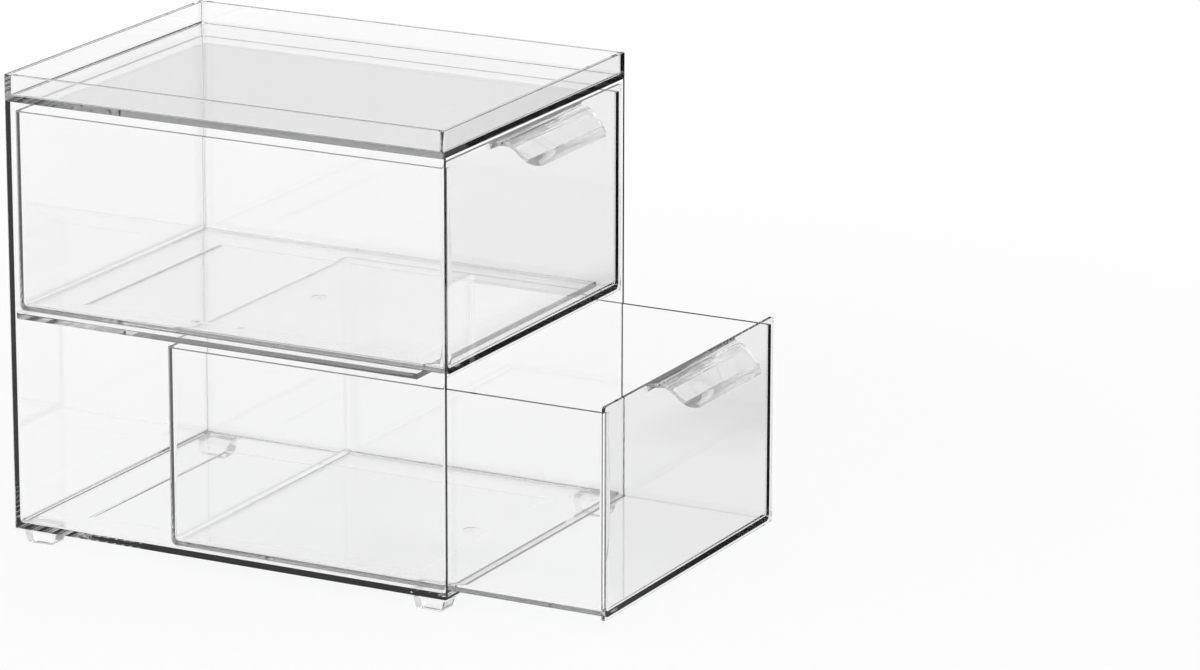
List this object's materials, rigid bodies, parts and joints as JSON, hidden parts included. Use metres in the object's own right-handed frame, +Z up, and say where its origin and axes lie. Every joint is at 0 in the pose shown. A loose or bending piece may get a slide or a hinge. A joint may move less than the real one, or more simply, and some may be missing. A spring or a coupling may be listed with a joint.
{
  "type": "stackable drawer box",
  "caption": "Clear plastic drawer box that stacks: open-fronted housing with a shelf, rimmed tray top, corner feet and pull-out drawers with curved pull lips.",
  "frame": {"origin": "middle of the overall width and depth at rest, on the plane that the feet stand on", "axes": "+Z up, -Y towards the drawer fronts, +X to the right for someone who faces the drawers"},
  "size_m": [0.187, 0.3552, 0.2423],
  "materials": {
    "clear_housing": "clear gloss styrene",
    "clear_tray": "clear gloss styrene",
    "clear_foot": "clear gloss styrene",
    "clear_drawer": "clear gloss styrene"
  },
  "bodies": {
    "housing": {"housing_shell": "clear_housing", "middle_shelf": "clear_housing", "top_tray": "clear_tray", "foot_front_left": "clear_foot", "foot_front_right": "clear_foot", "foot_back_left": "clear_foot", "foot_back_right": "clear_foot"},
    "lower_drawer": {"lower_drawer": "clear_drawer"},
    "upper_drawer": {"upper_drawer": "clear_drawer"}
  },
  "joints": [
    {"name": "lower_drawer_slide", "type": "slide", "parent": "housing", "child": "lower_drawer", "axis": [0, -1, 0], "range_m": [-0.086, 0.112]},
    {"name": "upper_drawer_slide", "type": "slide", "parent": "housing", "child": "upper_drawer", "axis": [0, -1, 0], "range_m": [0, 0.198]}
  ]
}
